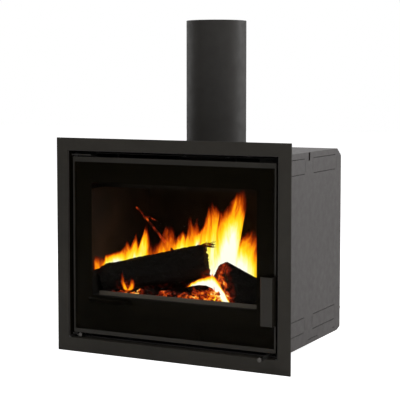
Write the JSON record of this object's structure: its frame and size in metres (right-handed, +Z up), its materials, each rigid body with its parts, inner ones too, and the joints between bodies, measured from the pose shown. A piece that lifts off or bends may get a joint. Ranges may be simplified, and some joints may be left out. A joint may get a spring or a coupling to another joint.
{
  "type": "fireplace insert",
  "caption": "Wood-burning fireplace insert with a flat trim flange, a wide glazed side-hung door, a sheet steel convection casing and a top flue pipe.",
  "frame": {"origin": "centre of the flat underside of the base plate", "axes": "+Z up, towards the flue; the door and flange face -Y; +X is to the right of someone facing the door"},
  "size_m": [0.75, 0.535, 0.977],
  "materials": {
    "flange_paint": "matt black stove paint",
    "casing_paint": "dark grey sheet steel",
    "galvanised": "galvanised sheet",
    "firebox_steel": "dull black steel plate",
    "vermiculite": "pressed vermiculite, sooted",
    "cast_grate": "rough casting",
    "door_paint": "satin black stove paint",
    "door_glass": "clear ceramic glass",
    "glass_enamel": "black fired enamel",
    "fibre": "knitted glass fibre",
    "bright_steel": "plain steel",
    "knob_steel": "blackened steel",
    "brass": "turned brass",
    "plastic": "moulded nylon",
    "flue_paint": "matt black flue paint",
    "charred_wood": "charred bark",
    "embers": "glowing charcoal"
  },
  "bodies": {
    "root": {"trim_flange": "flange_paint", "casing_side_left": "casing_paint", "casing_side_right": "casing_paint", "casing_base": "casing_paint", "casing_top": "casing_paint", "casing_back": "casing_paint", "casing_angles": "galvanised", "casing_screws": "bright_steel", "front_frame": "firebox_steel", "firebox_sides": "firebox_steel", "firebox_back": "firebox_steel", "firebox_top": "firebox_steel", "firebox_floor": "firebox_steel", "hearth_tiles": "vermiculite", "lining_sides": "vermiculite", "lining_back": "vermiculite", "rear_air_duct": "galvanised", "baffle": "vermiculite", "deflector": "firebox_steel", "deflector_ledges": "firebox_steel", "air_wash": "firebox_steel", "log_guard": "firebox_steel", "ash_box": "galvanised", "ash_pan": "galvanised", "supports": "galvanised", "air_boxes": "galvanised", "rod_guides": "galvanised", "hinge_pins": "bright_steel", "hinge_brackets": "firebox_steel", "hinge_washers": "brass", "latch_keeper": "bright_steel", "fan_housing": "galvanised", "fan_motor": "bright_steel", "thermostat": "plastic", "cable_gland": "plastic", "flue_collar": "cast_grate", "collar_bolts": "bright_steel", "flue_pipe": "flue_paint"},
    "door": {"door_frame": "door_paint", "glass": "door_glass", "glass_print": "glass_enamel", "glass_tape": "fibre", "glass_retainer": "door_paint", "retainer_screws": "bright_steel", "door_rope": "fibre"},
    "handle": {"handle_grip": "door_paint", "spindle": "bright_steel", "latch_hook": "bright_steel"},
    "control_left": {"control_knob_left": "knob_steel", "control_rod_left": "bright_steel", "air_shutter_left": "bright_steel"},
    "control_right": {"control_knob_right": "knob_steel", "control_rod_right": "bright_steel", "air_shutter_right": "bright_steel"},
    "fire_bed": {"grate": "cast_grate", "ember_bed": "embers", "log_main": "charred_wood", "log_right": "charred_wood", "logs_behind": "charred_wood"},
    "fan_rotor": {"fan_wheel": "bright_steel"}
  },
  "joints": [
    {"name": "door_hinge", "type": "hinge", "parent": "root", "child": "door", "pos_m": [-0.32, -0.213, 0.276], "axis": [0, 0, -1], "range_deg": [0, 95]},
    {"name": "handle_turn", "type": "hinge", "parent": "door", "child": "handle", "pos_m": [0.3145, -0.212, 0.16], "axis": [0, 0, 1], "range_deg": [0, 20]},
    {"name": "air_control_left", "type": "slide", "parent": "root", "child": "control_left", "axis": [0, -1, 0], "range_m": [0, 0.061]},
    {"name": "air_control_right", "type": "slide", "parent": "root", "child": "control_right", "axis": [0, -1, 0], "range_m": [-0.061, 0]},
    {"name": "fire_bed_lift", "type": "slide", "parent": "root", "child": "fire_bed", "axis": [0, 0, 1], "range_m": [0, 0.06]},
    {"name": "fan_spin", "type": "hinge", "parent": "root", "child": "fan_rotor", "pos_m": [-0.02, 0.188, 0.048], "axis": [1, 0, 0], "continuous": true}
  ]
}
